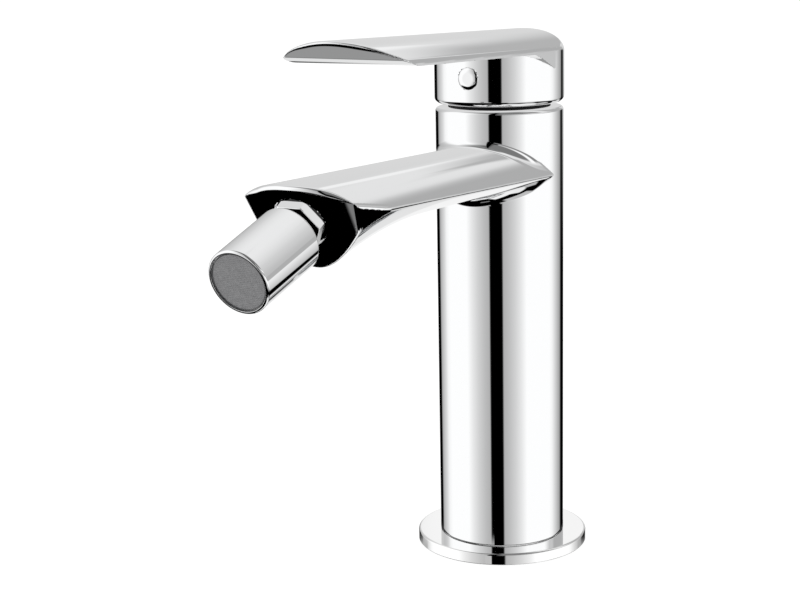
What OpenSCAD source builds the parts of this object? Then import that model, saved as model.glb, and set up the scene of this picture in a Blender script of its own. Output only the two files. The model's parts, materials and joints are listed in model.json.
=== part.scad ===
// Single-lever bidet mixer with a swivelling spray outlet.
// Millimetres, +Z up. The origin is the centre of the base on the deck surface,
// the spout and the lever point towards -Y, and -X is the hot side.

/* [Base] */
// Diameter of the base plate
flange_d = 60; // [54:1:72]
// Thickness of the base plate
flange_t = 4; // [3:0.5:6]
// Height of the collar that centres the base plate in the column
spigot_h = 4; // [2:0.5:8]
// Width of the rubber ring under the base plate
seal_w = 4; // [2:0.5:5]
// Thickness of the rubber ring under the base plate
seal_t = 2; // [1:0.25:2.5]
// Diameter of the bush that takes the fixing stud
stud_bush_d = 10; // [9:0.5:12]
// Length of the bush that takes the fixing stud
stud_bush_l = 18; // [10:1:30]
// Core diameter of the fixing stud's thread, M8
stud_core_d = 6.7; // [6.5:0.1:7]

/* [Column] */
// Height of the column's top face above the deck
body_h = 155.8; // [140:0.1:190]
// Diameter of the column
col_d = 44; // [42:0.5:50]
// Wall of the hollow column
col_wall = 4.5; // [3.5:0.1:5]
// Rounding of the column's foot
foot_r = 0.5; // [0.3:0.1:4]
// Chamfer round the column's top edge
top_chamfer = 1.1; // [0.5:0.1:2]
// Height of the solid part that holds the waterways
plug_h = 27; // [24:1:34]

/* [Inlets] */
// Distance of each inlet from the middle plane
inlet_x = 7.5; // [7:0.25:9]
// Outer diameter of an inlet bush
inlet_bush_d = 12.8; // [12:0.2:13.5]
// Core diameter of the inlet thread, M10 x 1
inlet_core_d = 8.9; // [8.5:0.1:9.2]
// Length of an inlet bush
inlet_l = 14; // [10:1:20]
// Depth of an inlet bush in the solid part
inlet_sink = 6; // [4:0.5:8]

/* [Spout] */
// Width of the spout
spout_w = 43.8; // [38:0.2:43.8]
// Drop from the column's top to the spout's side edge at the column axis
spout_drop = 22; // [20:0.5:40]
// Distance from the column axis to the centre of the outlet
reach = 122.8; // [100:0.1:150]
// Rise of the side edge towards the tip, degrees
edge_pitch = 2; // [0:0.1:4]
// Height of the crown above the side edge at the column
crown_h = 9.5; // [6:0.5:12]
// Power of the crown's curve: 2 is a parabola, more is flatter in the middle
crown_power = 2.7; // [2:0.1:3.2]
// Rise of the crown's ridge towards the tip, degrees
ridge_pitch = 0.8; // [0:0.1:3]
// Height of the upright band along the side edge
band_h = 1.2; // [0.8:0.1:2]
// Depth of the keel below the side edge at the column
keel_h = 6.5; // [6:0.5:10]
// Distance from the outlet at which the keel begins to fall
keel_run = 55; // [30:1:70]
// Fall of the keel below its straight part, at the outlet
keel_fall = 12; // [8:0.5:14]
// Radius of the fillet between the spout's underside and the column
root_low_r = 4.2; // [2:0.1:6]
// Radius of the fillet between the spout's crown and the column
root_top_r = 3; // [1:0.1:5]
// Pitch of the outlet below the horizontal, degrees
outlet_pitch = 30; // [25:1:35]
// Radius of the bowed end face, in plan
nose_r = 60; // [30:1:90]
// Length of the bevel at each front corner, along the side
bevel_l = 9; // [4:0.5:12]
// Angle of the corner bevels to the side, degrees
bevel_angle = 13; // [8:1:20]
// Lean of the corner bevels, degrees
bevel_lean = 16; // [0:1:25]
// Diameter of the waterway in the spout
channel_d = 10; // [8:0.5:11]
// Width of the chamber over the waterway
chamber_w = 24; // [14:1:26]
// Wall above the chamber
spout_wall = 2.7; // [2:0.1:4]

/* [Cartridge] */
// Depth of the cartridge seat below the column's top
seat_depth = 16.8; // [15.5:0.1:18]
// Diameter of the cartridge housing
cart_d = 24.8; // [22:0.2:26]
// Wall of the cartridge housing
cart_wall = 1.6; // [1.2:0.1:2]
// Height of the housing's shoulder above the column's top
shoulder_h = 0.6; // [0.4:0.1:1.5]
// Thickness of the cartridge base
cart_base_t = 2.6; // [2:0.1:3]
// Thickness of each ceramic disc
disc_t = 2.55; // [2:0.05:3]
// Diameter of the moving disc
disc_d = 15.6; // [14:0.2:16]
// Thickness of the disc carrier
carrier_t = 3.6; // [3:0.1:4]
// Diameter of the spindle guide's neck
guide_d = 16.8; // [15:0.2:18]
// Diameter of the water ports
port_d = 4; // [3:0.25:4.5]
// Diameter of the column's neck
neck_d = 33.5; // [32:0.5:36]
// Height of the column's neck
neck_h = 4; // [3:0.25:5]
// Outer diameter of the cartridge nut
nut_d = 28; // [27:0.5:29]
// Height of the cartridge nut
nut_h = 3.6; // [3:0.1:4]
// Height of the lever's pivot above the column's top
pivot_h = 4.2; // [3.5:0.1:5]
// Diameter of the pivot pin
pin_d = 2.5; // [2:0.1:3]
// Side of the square spindle
spindle_w = 6; // [5:0.25:6.5]
// Length of the spindle's drive arm, from the pivot down to its ball
arm_l = 10.97; // [10.6:0.01:11.4]
// Lean of the drive arm when the lever is shut, degrees
arm_lean = 10; // [6:0.5:12]
// Diameter of the drive ball
drive_d = 4.2; // [3.5:0.1:4.3]

/* [Lever] */
// Gap between the column's top and the lever's cap
cap_gap = 1.5; // [1:0.1:3]
// Diameter of the lever's cap
cap_d = 44.5; // [43:0.5:50]
// Wall of the lever's cap
cap_wall = 2.25; // [1.5:0.05:3]
// Chamfer round the cap's lower edge
cap_chamfer = 1.2; // [0.5:0.1:2]
// Height of the lever's ridge above the cap's lower edge, at the column axis
lever_h = 24.4; // [22:0.1:32]
// Distance from the column axis to the lever's tip
lever_l = 108; // [80:1:140]
// Width of the lever's blade
blade_w = 44; // [36:0.5:44]
// Rise of the blade towards its tip, degrees
blade_pitch = 1.43; // [0:0.05:4]
// Height of the blade's crown
blade_crown = 5.6; // [3:0.1:8]
// Thickness of the blade at its side edges
blade_edge = 1.4; // [1:0.1:3]
// Lean of the flat face under the blade's tip, degrees from upright
tip_lean = 60; // [45:1:64]
// Radius of the cheeks that run from the blade to the cap
cheek_r = 22; // [14:0.5:24]
// Distance in front of the column axis at which the cheeks begin
cheek_y = 19.4; // [14:0.2:20]
// Slope at which the cheeks meet the cap, degrees
cheek_slope = 23; // [15:1:45]
// Lift of the lever from shut to fully open, degrees
lift_angle = 20; // [15:1:22]
// Distance behind the column axis at which the cap's relief begins
relief_y = 3.9; // [2:0.1:3.9]
// Height of the indicator plug's centre above the cap's lower edge
plug_z = 9.4; // [8.5:0.1:12]
// Diameter of the indicator plug
plug_d = 7.5; // [6.5:0.25:9]
// Diameter of the grub screw
grub_d = 4.8; // [4:0.1:5]
// Length of the grub screw
grub_l = 10; // [8:0.5:12]

/* [Nozzle] */
// Pitch of the nozzle below the horizontal as it stands, degrees
nozzle_pitch = 18; // [17:1:30]
// Diameter of the swivel ball
ball_d = 15; // [13:0.25:15.5]
// Distance of the ball's centre from the end face
ball_out = 10.3; // [10.3:0.1:13]
// Diameter of the ball's stem
stem_d = 8; // [7:0.25:8.5]
// Water bore of the nipple
nipple_bore = 6; // [4:0.25:6.5]
// Diameter of the nipple's threaded end
nipple_d = 11; // [9:0.25:12]
// Length of the nipple's threaded end
nipple_l = 5; // [3.5:0.25:6]
// Size of the nipple's hexagon across its corners
hex_d = 16.4; // [15:0.2:17]
// Height of the nipple's hexagon
hex_h = 3.2; // [2.4:0.1:3.2]
// Depth of the flat that the nipple sits on
spot_depth = 2; // [1.5:0.1:2.5]
// Thickness of the nipple's sealing ring
ring_t = 1; // [0.6:0.1:1.4]
// Diameter of the nozzle casing at its back
casing_d = 20.4; // [20:0.1:22]
// Diameter of the nozzle casing at its front
casing_front_d = 20; // [19.8:0.1:22]
// Length of the nozzle casing behind the ball's centre
casing_back = 5; // [4.5:0.1:5]
// Length of the nozzle casing in front of the ball's centre
casing_front = 22.8; // [21:0.1:30]
// Bore of the nozzle casing
casing_bore = 18.1; // [17.9:0.05:18.3]
// Depth of the screen behind the casing's front edge
screen_sink = 0.5; // [0.3:0.1:2]
// Thickness of the screen
screen_t = 1; // [0.6:0.1:1.5]
// Wall of the ball's liner
liner_t = 0.7; // [0.5:0.05:0.8]
// Thickness of the nozzle's rubber washer
washer_t = 3; // [2:0.25:4]
// Number of bars across the screen
screen_bars = 14; // [8:1:20]

/* [Fits] */
// Radial clearance of pieces pressed or screwed together
fit = 0.03; // [0.02:0.01:0.08]
// Radial clearance of shafts and pins that turn
run_fit = 0.06; // [0.04:0.01:0.1]
// Clearance between pieces that move past each other
gap = 0.3; // [0.25:0.05:0.4]
// Gap between the ceramic discs
disc_gap = 0.05; // [0.03:0.01:0.1]

/* [Hidden] */
$fn = 64;
eps = 0.01;
// Length of a tool that cuts right through
through = 400;
// Depth by which the slope of the cheeks lies inside their arc, so that the two cross
cheek_bite = 0.02;
chrome = "gainsboro";
dark = "dimgray";
brass = "goldenrod";
rubber = "black";
plastic = "whitesmoke";
ceramic = "ivory";

// Base and column
flange_r = flange_d / 2;
col_r = col_d / 2;
hollow_r = col_r - col_wall;
spigot_r = hollow_r - fit;
spigot_wall = 1.5;
seal_inset = 1;
seal_r = (col_r + flange_r) / 2 - seal_inset;
flange_edge = 0.8;
boss_wall = 2;
boss_root = 1;
boss_lift = 1;
boss_r = stud_bush_d / 2 + boss_wall;
boss_y = hollow_r - boss_r + boss_root;
boss_z = flange_t + spigot_h + boss_lift;
boss_h = stud_bush_l;
boss_web = 6;
stud_bush_r = stud_bush_d / 2;

// Cartridge levels, from its seat upwards
seat_z = body_h - seat_depth;
plug_z0 = seat_z - plug_h;
inlet_z = plug_z0 + inlet_sink - inlet_l;
fixed_z = seat_z + cart_base_t;
moving_z = fixed_z + disc_t + disc_gap;
carrier_z = moving_z + disc_t;
flange_guide_z = carrier_z + carrier_t + gap;
shoulder_z = body_h + shoulder_h;
roof_t = 0.7;
guide_flange_top = shoulder_z - roof_t - gap;
pivot_z = body_h + pivot_h;
pin_cover = 0.75;
guide_top = pivot_z + pin_d / 2 + pin_cover;
nut_top = shoulder_z + nut_h;
neck_top = body_h + neck_h;
house_rise = 0.2;
house_top = pivot_z + house_rise;
cart_r = cart_d / 2;
house_r = cart_r - cart_wall;
guide_r = guide_d / 2;
guide_bore = guide_r + run_fit;
house_neck_r = guide_bore + cart_wall;
nut_r = nut_d / 2;
nut_slack = 0.15;
nut_bore = house_neck_r + nut_slack;
nut_seat = 0.4;
neck_r = neck_d / 2;
trim_w = 0.85;
ball_drop = arm_l * cos(arm_lean);
drive_y = arm_l * sin(arm_lean);
drive_z = pivot_z - ball_drop;
drive_r = drive_d / 2;
arm_step = 0.1;
arm_r = drive_r - arm_step;
disc_r = disc_d / 2;
port_r = port_d / 2;
port_x = 5.3;
port_y = 3.2;
outlet_port_y = -5.5;
inlet_y = port_y;
seal_ring_w = 1.6;
seal_ring_r = port_r + seal_ring_w;
seal_ring_t = 1.2;
slot_slack = 0.2;
slot_x = spindle_w / 2 + slot_slack;
slot_y = 5;

// Spout
spout_z = body_h - spout_drop;
half_w = spout_w / 2;
channel_r = channel_d / 2;
channel_drop = 1.3;
channel_z = spout_z - channel_drop;
channel_over = 1.5;
channel_end = outlet_port_y + port_r + channel_over;
chamber_back = 5;
chamber_front = 16;
chamber_y = col_r + chamber_back;
chamber_l = reach - chamber_front - chamber_y;
edge_slope = tan(edge_pitch);
ridge_slope = tan(ridge_pitch);
// How sharply the keel is rounded, against the half width
keel_round = 0.6;
outlet_drop = 0.3;
outlet_z = spout_z - outlet_drop;
tip_over = 12;
tip_y = reach + tip_over;
bevel_inset = 4;
fall_y = reach - keel_run;
function edge_z(y) = spout_z + edge_slope * y;
function ridge_z(y) = spout_z + crown_h + ridge_slope * y;
function keel_z(y) = spout_z - keel_h - keel_fall * pow(max(0, y - fall_y) / keel_run, 2);
function hull_shape(r) =
    (sqrt(1 + pow(r / keel_round, 2)) - 1) / (sqrt(1 + pow(1 / keel_round, 2)) - 1);
// Height of a fillet at the distance d from the column, fading out at the spout's side edges
function fillet(r, x, d) =
    (r - sqrt(r * r - pow(max(0, r - max(0, d)), 2))) * (1 - pow(abs(x) / half_w, 12));
function off_column(x, y) = sqrt(x * x + y * y) - col_r;
function crown_z(x, y) = ridge_z(y) - (ridge_z(y) - edge_z(y)) * pow(abs(x) / half_w, crown_power);
function hull_z(x, y) =
    keel_z(y) + (edge_z(y) - band_h - keel_z(y)) * hull_shape(x / half_w);
function top_z(x, y) = crown_z(x, y) + fillet(root_top_r, x, off_column(x, y));
function under_z(x, y) = hull_z(x, y) - fillet(root_low_r, x, off_column(x, y));
chamber_rise = 0.5;
chamber_z = channel_z + chamber_rise;
chamber_h = crown_z(chamber_w / 2, chamber_y) - spout_wall - chamber_z;
// Points across the spout
across = 16;
ring_n = 2 * (across + 1);
// Rings of points along the spout: one inside the column, some that follow the column's round
// through the fillet, and straight ones to the tip, closer where the keel falls
root_steps = 5;
root_d = max(root_low_r, root_top_r);
bend_steps = 9;
root_rings = concat([-0.5], [for (i = [1 : root_steps]) root_d * pow(i / root_steps, 1.6)]);
straight_rings = concat([(col_r + root_d + fall_y) / 2],
    [for (i = [0 : bend_steps]) fall_y + (tip_y - fall_y) * i / bend_steps]);
function root_y(x, d) = sqrt(max(0, pow(col_r + d, 2) - x * x));
function ring(ys) = concat(
    [for (i = [0 : across]) let (x = across_x(i)) [x, -ys[i], top_z(x, ys[i])]],
    [for (i = [across : -1 : 0]) let (x = across_x(i)) [x, -ys[i], under_z(x, ys[i])]]);
function across_x(i) = -half_w + spout_w * i / across;
rings = concat([[for (i = [0 : across]) -2]],
    [for (d = root_rings) [for (i = [0 : across]) root_y(across_x(i), d)]],
    [for (y = straight_rings) [for (i = [0 : across]) y]]);
spout_points = [for (r = rings) each ring(r)];
last = len(rings) - 1;
function at(s, i) = s * ring_n + (i + ring_n) % ring_n;
spout_faces = concat(
    [for (s = [0 : last - 1]) for (i = [0 : ring_n - 1]) each
        [[at(s, i), at(s, i + 1), at(s + 1, i + 1)], [at(s, i), at(s + 1, i + 1), at(s + 1, i)]]],
    [for (i = [0 : across - 1]) each
        [[at(0, i), at(0, -1 - i), at(0, i + 1)], [at(0, i + 1), at(0, -1 - i), at(0, -2 - i)]]],
    [for (i = [0 : across - 1]) each
        [[at(last, i), at(last, i + 1), at(last, -1 - i)],
         [at(last, i + 1), at(last, -2 - i), at(last, -1 - i)]]]);

// Outlet and nozzle
ball_r = ball_d / 2;
ball_y = -reach - ball_out * cos(outlet_pitch);
ball_z = outlet_z - ball_out * sin(outlet_pitch);
spot_z = -ball_out - spot_depth;
hex_z = spot_z + ring_t;
spot_slack = 0.4;
spot_over = 5;
spot_r = hex_d / 2 + spot_slack;
nipple_r = nipple_d / 2;
liner_r = ball_r + run_fit + liner_t;
liner_back = 3.5;
liner_front = 3;
cup_r = liner_r + run_fit;
bore_r = casing_bore / 2;
lip_t = 1.1;
cup_cut = 3.2;
cup_back = casing_back - lip_t;
cup_front = cup_r - cup_cut;
cup_out_r = bore_r - fit;
mouth_step = 1.4;
mouth_r = cup_r - mouth_step;
washer_step = 0.4;
lip_step = 1;
washer_z = cup_front + fit;
cage_z = washer_z + washer_t + fit;
screen_z = casing_front - screen_sink - screen_t;
cage_l = screen_z - cage_z - fit;
cage_wall = 1.2;
bar_w = 0.5;
bar_pitch = (casing_bore - 2 * cage_wall) / (screen_bars + 1);

// Lever
cap_z = body_h + cap_gap;
cap_r = cap_d / 2;
cap_hollow_r = cap_r - cap_wall;
ceiling_h = 15.7;
cap_over = 10;
ceiling_z = cap_z + ceiling_h;
ridge_top = cap_z + lever_h;
half_blade = blade_w / 2;
crown_r = (pow(half_blade, 2) + pow(blade_crown, 2)) / (2 * blade_crown);
blade_low = ridge_top - blade_crown - blade_edge;
plug_h_z = cap_z + plug_z;
plug_r = plug_d / 2;
plug_sink = 1.6;
grub_r = grub_d / 2;
lug_wall = 2.5;
lug_foot = 1;
lug_w = grub_d + 2 * lug_wall;
lug_y = spindle_w / 2 + grub_l + gap;
lug_z = plug_h_z - grub_r - lug_foot;
hub_r = 7.5;
socket_roof = 3;
socket_top = ridge_top - socket_roof;
spindle_top = socket_top - gap;

// A ring standing on the plane z
module tube(r, bore, h, z = 0) {
    translate([0, 0, z]) difference() {
        cylinder(r = r, h = h);
        translate([0, 0, -1]) cylinder(r = bore, h = h + 2);
    }
}

// A cylinder lying along Y, from y0 to y1
module rod_y(r, y0, y1) {
    translate([0, y0, 0]) rotate([-90, 0, 0]) cylinder(r = r, h = y1 - y0);
}

// A cylinder lying along X, centred
module rod_x(r, l) {
    rotate([0, 90, 0]) cylinder(r = r, h = l, center = true);
}

// Places a piece at the ball's centre with its +Z axis pointing out of the spout
module from_ball(pitch) {
    translate([0, ball_y, ball_z]) rotate([90 + pitch, 0, 0]) children();
}

// Places the three water ports
module ports(r, h, z) {
    for (x = [-port_x, port_x]) translate([x, port_y, z]) cylinder(r = r, h = h);
    translate([0, outlet_port_y, z]) cylinder(r = r, h = h);
}

module column() {
    foot_z = flange_t + foot_r;
    side_top = body_h - top_chamfer;
    translate([0, 0, flange_t]) cylinder(r = col_r - foot_r, h = foot_r + eps);
    translate([0, 0, foot_z]) rotate_extrude() translate([col_r - foot_r, 0]) circle(r = foot_r);
    translate([0, 0, foot_z]) cylinder(r = col_r, h = side_top - foot_z);
    translate([0, 0, side_top]) cylinder(r1 = col_r, r2 = col_r - top_chamfer, h = top_chamfer);
    cylinder_neck = neck_top - side_top;
    translate([0, 0, side_top]) cylinder(r = neck_r, h = cylinder_neck);
}

// One front corner of the spout, cut away by a leaning bevel
module bevel_cut() {
    corner_y = -reach + bevel_l + bevel_inset;
    translate([half_w, corner_y, edge_z(-corner_y)]) rotate([0, 0, -bevel_angle])
        rotate([0, bevel_lean, 0]) translate([0, -through / 2, -through / 2]) cube(through);
}

module spout() {
    difference() {
        intersection() {
            polyhedron(points = spout_points, faces = spout_faces, convexity = 4);
            union() {
                from_ball(outlet_pitch) translate([0, 0, -ball_out - nose_r]) rotate([90, 0, 0])
                    cylinder(r = nose_r, h = through, center = true);
                from_ball(outlet_pitch) translate([-through / 2, -through / 2,
                    -ball_out - nose_r - through]) cube(through);
            }
        }
        bevel_cut();
        mirror([1, 0, 0]) bevel_cut();
    }
}

module mixer_body() {
    color(chrome) difference() {
        union() {
            difference() {
                union() {
                    column();
                    spout();
                }
                translate([0, 0, -1]) cylinder(r = hollow_r, h = plug_z0 + 1);
            }
            stud_boss();
        }
        translate([0, boss_y, boss_z - 1]) cylinder(r = stud_bush_r + fit, h = boss_h + 2);
        for (x = [-inlet_x, inlet_x]) translate([x, inlet_y, plug_z0 - 1])
            cylinder(r = inlet_bush_d / 2 + fit, h = inlet_sink + 1);
        for (x = [-port_x, port_x]) translate([x, inlet_y, plug_z0])
            cylinder(r = port_r, h = plug_h + 1);
        translate([0, outlet_port_y, channel_z]) cylinder(r = port_r, h = seat_z - channel_z + 1);
        translate([0, 0, channel_z]) rod_y(channel_r, -reach + nipple_l, channel_end);
        translate([-chamber_w / 2, -chamber_y - chamber_l, chamber_z])
            cube([chamber_w, chamber_l, chamber_h]);
        translate([0, 0, seat_z]) cylinder(r = cart_r + fit, h = through);
        translate([0, 0, shoulder_z - nut_seat]) cylinder(r = nut_r + fit, h = through);
        from_ball(outlet_pitch) translate([0, 0, spot_z]) cylinder(r = spot_r, h = spot_depth + spot_over);
        from_ball(outlet_pitch) translate([0, 0, spot_z - nipple_l - gap])
            cylinder(r = nipple_r + fit, h = nipple_l + gap + 1);
    }
}

// The cast boss for the fixing stud, on the column's rear wall
module stud_boss() {
    intersection() {
        union() {
            translate([0, boss_y, boss_z]) cylinder(r = boss_r, h = boss_h);
            translate([-boss_web / 2, boss_y, boss_z]) cube([boss_web, boss_r + col_wall, boss_h]);
        }
        cylinder(r = hollow_r + col_wall / 2, h = through);
    }
}

module base_flange() {
    color(chrome) difference() {
        union() {
            cylinder(r = flange_r, h = flange_t - flange_edge);
            translate([0, 0, flange_t - flange_edge])
                cylinder(r1 = flange_r, r2 = flange_r - flange_edge, h = flange_edge);
            cylinder(r = spigot_r, h = flange_t + spigot_h);
        }
        translate([0, 0, -1]) cylinder(r = spigot_r - spigot_wall, h = through);
        tube(seal_r + seal_w / 2 + fit, seal_r - seal_w / 2 - fit, seal_t + fit + 1, -1);
    }
}

module base_seal() {
    color(rubber) tube(seal_r + seal_w / 2, seal_r - seal_w / 2, seal_t);
}

module stud_bush() {
    color(brass) translate([0, boss_y, 0]) tube(stud_bush_r, stud_core_d / 2, boss_h, boss_z);
}

// A threaded bush for one supply hose
module inlet(x) {
    color(brass) translate([x, inlet_y, 0])
        tube(inlet_bush_d / 2, inlet_core_d / 2, inlet_l - fit, inlet_z);
}

module hot_inlet() {
    inlet(-inlet_x);
}

module cold_inlet() {
    inlet(inlet_x);
}

module cartridge_seals() {
    color(rubber) for (p = [[-port_x, port_y], [port_x, port_y], [0, outlet_port_y]])
        translate([p[0], p[1], 0]) tube(seal_ring_r, port_r, seal_ring_t, seat_z);
}

module cartridge_base() {
    color(plastic) difference() {
        translate([0, 0, seat_z]) cylinder(r = house_r - fit, h = cart_base_t);
        ports(port_r, through, seat_z - 1);
        ports(seal_ring_r + fit, seal_ring_t + fit + 1, seat_z - 1);
    }
}

module fixed_disc() {
    color(ceramic) difference() {
        translate([0, 0, fixed_z]) cylinder(r = house_r - fit, h = disc_t);
        ports(port_r, through, fixed_z - 1);
    }
}

module moving_disc() {
    cavity_r = disc_r - 2.2;
    color(ceramic) translate([0, drive_y, moving_z]) difference() {
        cylinder(r = disc_r, h = disc_t);
        translate([0, 0, -1]) cylinder(r = cavity_r, h = 1 + disc_t / 2);
    }
}

module disc_carrier() {
    color(plastic) translate([0, drive_y, carrier_z]) difference() {
        cylinder(r = disc_r, h = carrier_t);
        translate([0, 0, -1]) cylinder(r = drive_r + 0.15, h = carrier_t + 2);
    }
}

module cartridge_housing() {
    color(plastic) difference() {
        union() {
            translate([0, 0, seat_z]) cylinder(r = cart_r, h = shoulder_z - seat_z);
            translate([0, 0, seat_z]) cylinder(r = house_neck_r, h = house_top - seat_z);
        }
        translate([0, 0, seat_z - 1]) cylinder(r = house_r, h = shoulder_z - roof_t - seat_z + 1);
        cylinder(r = guide_bore, h = through);
    }
}

module cartridge_nut() {
    slot_w = 4;
    slot_d = 1.2;
    color(brass) difference() {
        tube(nut_r, nut_bore, nut_h, shoulder_z + fit);
        for (a = [0 : 60 : 120]) rotate([0, 0, a])
            translate([-through / 2, -slot_w / 2, nut_top - slot_d]) cube([through, slot_w, through]);
    }
}

module neck_ring() {
    color(dark) tube(neck_r + fit + trim_w, neck_r + fit, cap_gap, body_h);
}

module spindle_guide() {
    color(plastic) difference() {
        union() {
            translate([0, 0, flange_guide_z])
                cylinder(r = house_r - gap, h = guide_flange_top - flange_guide_z);
            translate([0, 0, flange_guide_z]) cylinder(r = guide_r, h = guide_top - flange_guide_z);
        }
        translate([-slot_x, -slot_y, 0]) cube([2 * slot_x, 2 * slot_y, through]);
        translate([0, 0, pivot_z]) rod_x(pin_d / 2 + fit, through);
    }
}

module pivot_pin() {
    color(dark) translate([0, 0, pivot_z]) rod_x(pin_d / 2, guide_d - 1);
}

module spindle() {
    hub_z = pivot_z - pin_d / 2 - 1.5;
    color(brass) difference() {
        union() {
            translate([-spindle_w / 2, -spindle_w / 2, hub_z])
                cube([spindle_w, spindle_w, spindle_top - hub_z]);
            translate([0, 0, pivot_z]) rotate([arm_lean, 0, 0]) translate([0, 0, -arm_l])
                cylinder(r = arm_r, h = arm_l);
            translate([0, drive_y, drive_z]) sphere(r = drive_r);
        }
        translate([0, 0, pivot_z]) rod_x(pin_d / 2 + run_fit, through);
    }
}

// The blade: a slab under a crowned top, with an undercut tip and cheeks that run into the cap
module blade() {
    tip_z = ridge_top + lever_l * tan(blade_pitch);
    difference() {
        translate([-half_blade, -lever_l - 1, cap_z]) cube([blade_w, lever_l + 1, through]);
        translate([0, -lever_l, tip_z]) rotate([tip_lean, 0, 0])
            translate([-through / 2, -through, -through / 2]) cube(through);
        translate([0, -cheek_y, blade_low]) rotate([-blade_pitch, 0, 0])
            translate([-through / 2, -through, -through]) cube(through);
        translate([0, -cheek_y, blade_low - cheek_r]) rod_x(cheek_r, through);
        translate([0, -cheek_y, blade_low - cheek_r]) rotate([-cheek_slope, 0, 0])
            translate([-through / 2, 0, cheek_r - cheek_bite - through]) cube(through);
    }
}

module cap() {
    translate([0, 0, cap_z]) cylinder(r1 = cap_r - cap_chamfer, r2 = cap_r, h = cap_chamfer);
    translate([0, 0, cap_z + cap_chamfer]) cylinder(r = cap_r, h = lever_h + cap_over);
}

// The boss inside the cap that takes the spindle and the grub screw
module lever_hub() {
    intersection() {
        union() {
            translate([0, 0, lug_z]) cylinder(r = hub_r, h = ceiling_z - lug_z + 1);
            translate([-lug_w / 2, -lug_y, lug_z]) cube([lug_w, lug_y, ceiling_z - lug_z + 1]);
        }
        union() {
            translate([-through / 2, -through, 0]) cube([through, through - 1, through]);
            translate([0, -1, lug_z]) rotate([lift_angle + 4, 0, 0])
                translate([-through / 2, 0, 0]) cube([through, through / 2, through]);
        }
    }
}

module lever() {
    color(chrome) difference() {
        intersection() {
            union() {
                cap();
                blade();
            }
            translate([0, 0, ridge_top - crown_r]) rotate([90 - blade_pitch, 0, 0])
                cylinder(r = crown_r, h = through, center = true, $fn = 128);
        }
        difference() {
            translate([0, 0, cap_z - 1]) cylinder(r = cap_hollow_r, h = ceiling_z - cap_z + 1);
            lever_hub();
        }
        translate([0, relief_y, cap_z]) rotate([lift_angle, 0, 0])
            translate([-through / 2, 0, -through]) cube(through);
        translate([-spindle_w / 2 - fit, -spindle_w / 2 - fit, cap_z])
            cube([spindle_w + 2 * fit, spindle_w + 2 * fit, socket_top - cap_z]);
        translate([0, 0, plug_h_z]) rod_y(grub_r + fit, -through, 0);
        translate([0, 0, plug_h_z]) rod_y(plug_r + fit, -through, -cap_r + plug_sink);
    }
}

module grub_screw() {
    socket_r = 1.4;
    socket_l = 3;
    color(dark) translate([0, -spindle_w / 2 - 0.1, plug_h_z]) difference() {
        rod_y(grub_r, -grub_l, 0);
        translate([0, -grub_l - 1, 0]) rotate([-90, 0, 0])
            cylinder(r = socket_r, h = socket_l + 1, $fn = 6);
    }
}

module indicator_plug() {
    color(chrome) translate([0, 0, plug_h_z]) rod_y(plug_r, -cap_r - 0.1, -cap_r + plug_sink - fit);
}

module ball_nipple() {
    color(chrome) from_ball(outlet_pitch) difference() {
        union() {
            sphere(r = ball_r);
            translate([0, 0, hex_z]) cylinder(r = stem_d / 2, h = -hex_z);
            translate([0, 0, hex_z]) cylinder(r = hex_d / 2, h = hex_h, $fn = 6);
            translate([0, 0, spot_z - nipple_l]) cylinder(r = nipple_r, h = nipple_l + ring_t);
        }
        translate([0, 0, -through / 2]) cylinder(r = nipple_bore / 2, h = through);
    }
}

module nipple_seal() {
    color(rubber) from_ball(outlet_pitch)
        tube(nipple_r + 1.6, nipple_r + fit, ring_t - 2 * fit, spot_z + fit);
}

// A zone of a hollow ball between two planes across the nozzle's axis
module ball_zone(r, bore, back, front) {
    intersection() {
        difference() {
            sphere(r = r);
            sphere(r = bore);
        }
        translate([0, 0, -back]) cylinder(r = 2 * r, h = back + front);
    }
}

module ball_liner() {
    color(plastic) from_ball(nozzle_pitch)
        ball_zone(liner_r, ball_r + run_fit, liner_back, liner_front);
}

module swivel_cup() {
    color(dark) from_ball(nozzle_pitch) difference() {
        translate([0, 0, -cup_back]) cylinder(r = cup_out_r, h = cup_back + cup_front);
        sphere(r = cup_r);
        cylinder(r = mouth_r, h = cup_r);
    }
}

module nozzle_casing() {
    length = casing_back + casing_front;
    lip_r = cup_r - lip_step;
    back_edge = 1.6;
    front_edge = 0.6;
    back_r = casing_d / 2;
    front_r = casing_front_d / 2;
    color(chrome) from_ball(nozzle_pitch) difference() {
        union() {
            translate([0, 0, -casing_back])
                cylinder(r1 = back_r - back_edge, r2 = back_r, h = back_edge);
            translate([0, 0, back_edge - casing_back])
                cylinder(r1 = back_r, r2 = front_r, h = length - back_edge - front_edge);
            translate([0, 0, casing_front - front_edge])
                cylinder(r1 = front_r, r2 = front_r - front_edge, h = front_edge);
        }
        translate([0, 0, -cup_back - fit]) cylinder(r = bore_r, h = length);
        translate([0, 0, -casing_back - 1]) cylinder(r = lip_r, h = length);
    }
}

module nozzle_washer() {
    color(rubber) from_ball(nozzle_pitch) tube(cup_out_r, mouth_r - washer_step, washer_t, washer_z);
}

module aerator_cage() {
    core_r = 1.6;
    spoke_w = 1;
    floor_t = 1.5;
    inner_r = cup_out_r - cage_wall;
    color(plastic) from_ball(nozzle_pitch) translate([0, 0, cage_z]) {
        tube(cup_out_r, inner_r, cage_l);
        cylinder(r = core_r, h = cage_l);
        for (a = [0 : 60 : 120]) rotate([0, 0, a])
            translate([-inner_r - eps, -spoke_w / 2, 0])
                cube([2 * inner_r + 2 * eps, spoke_w, floor_t]);
    }
}

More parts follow.
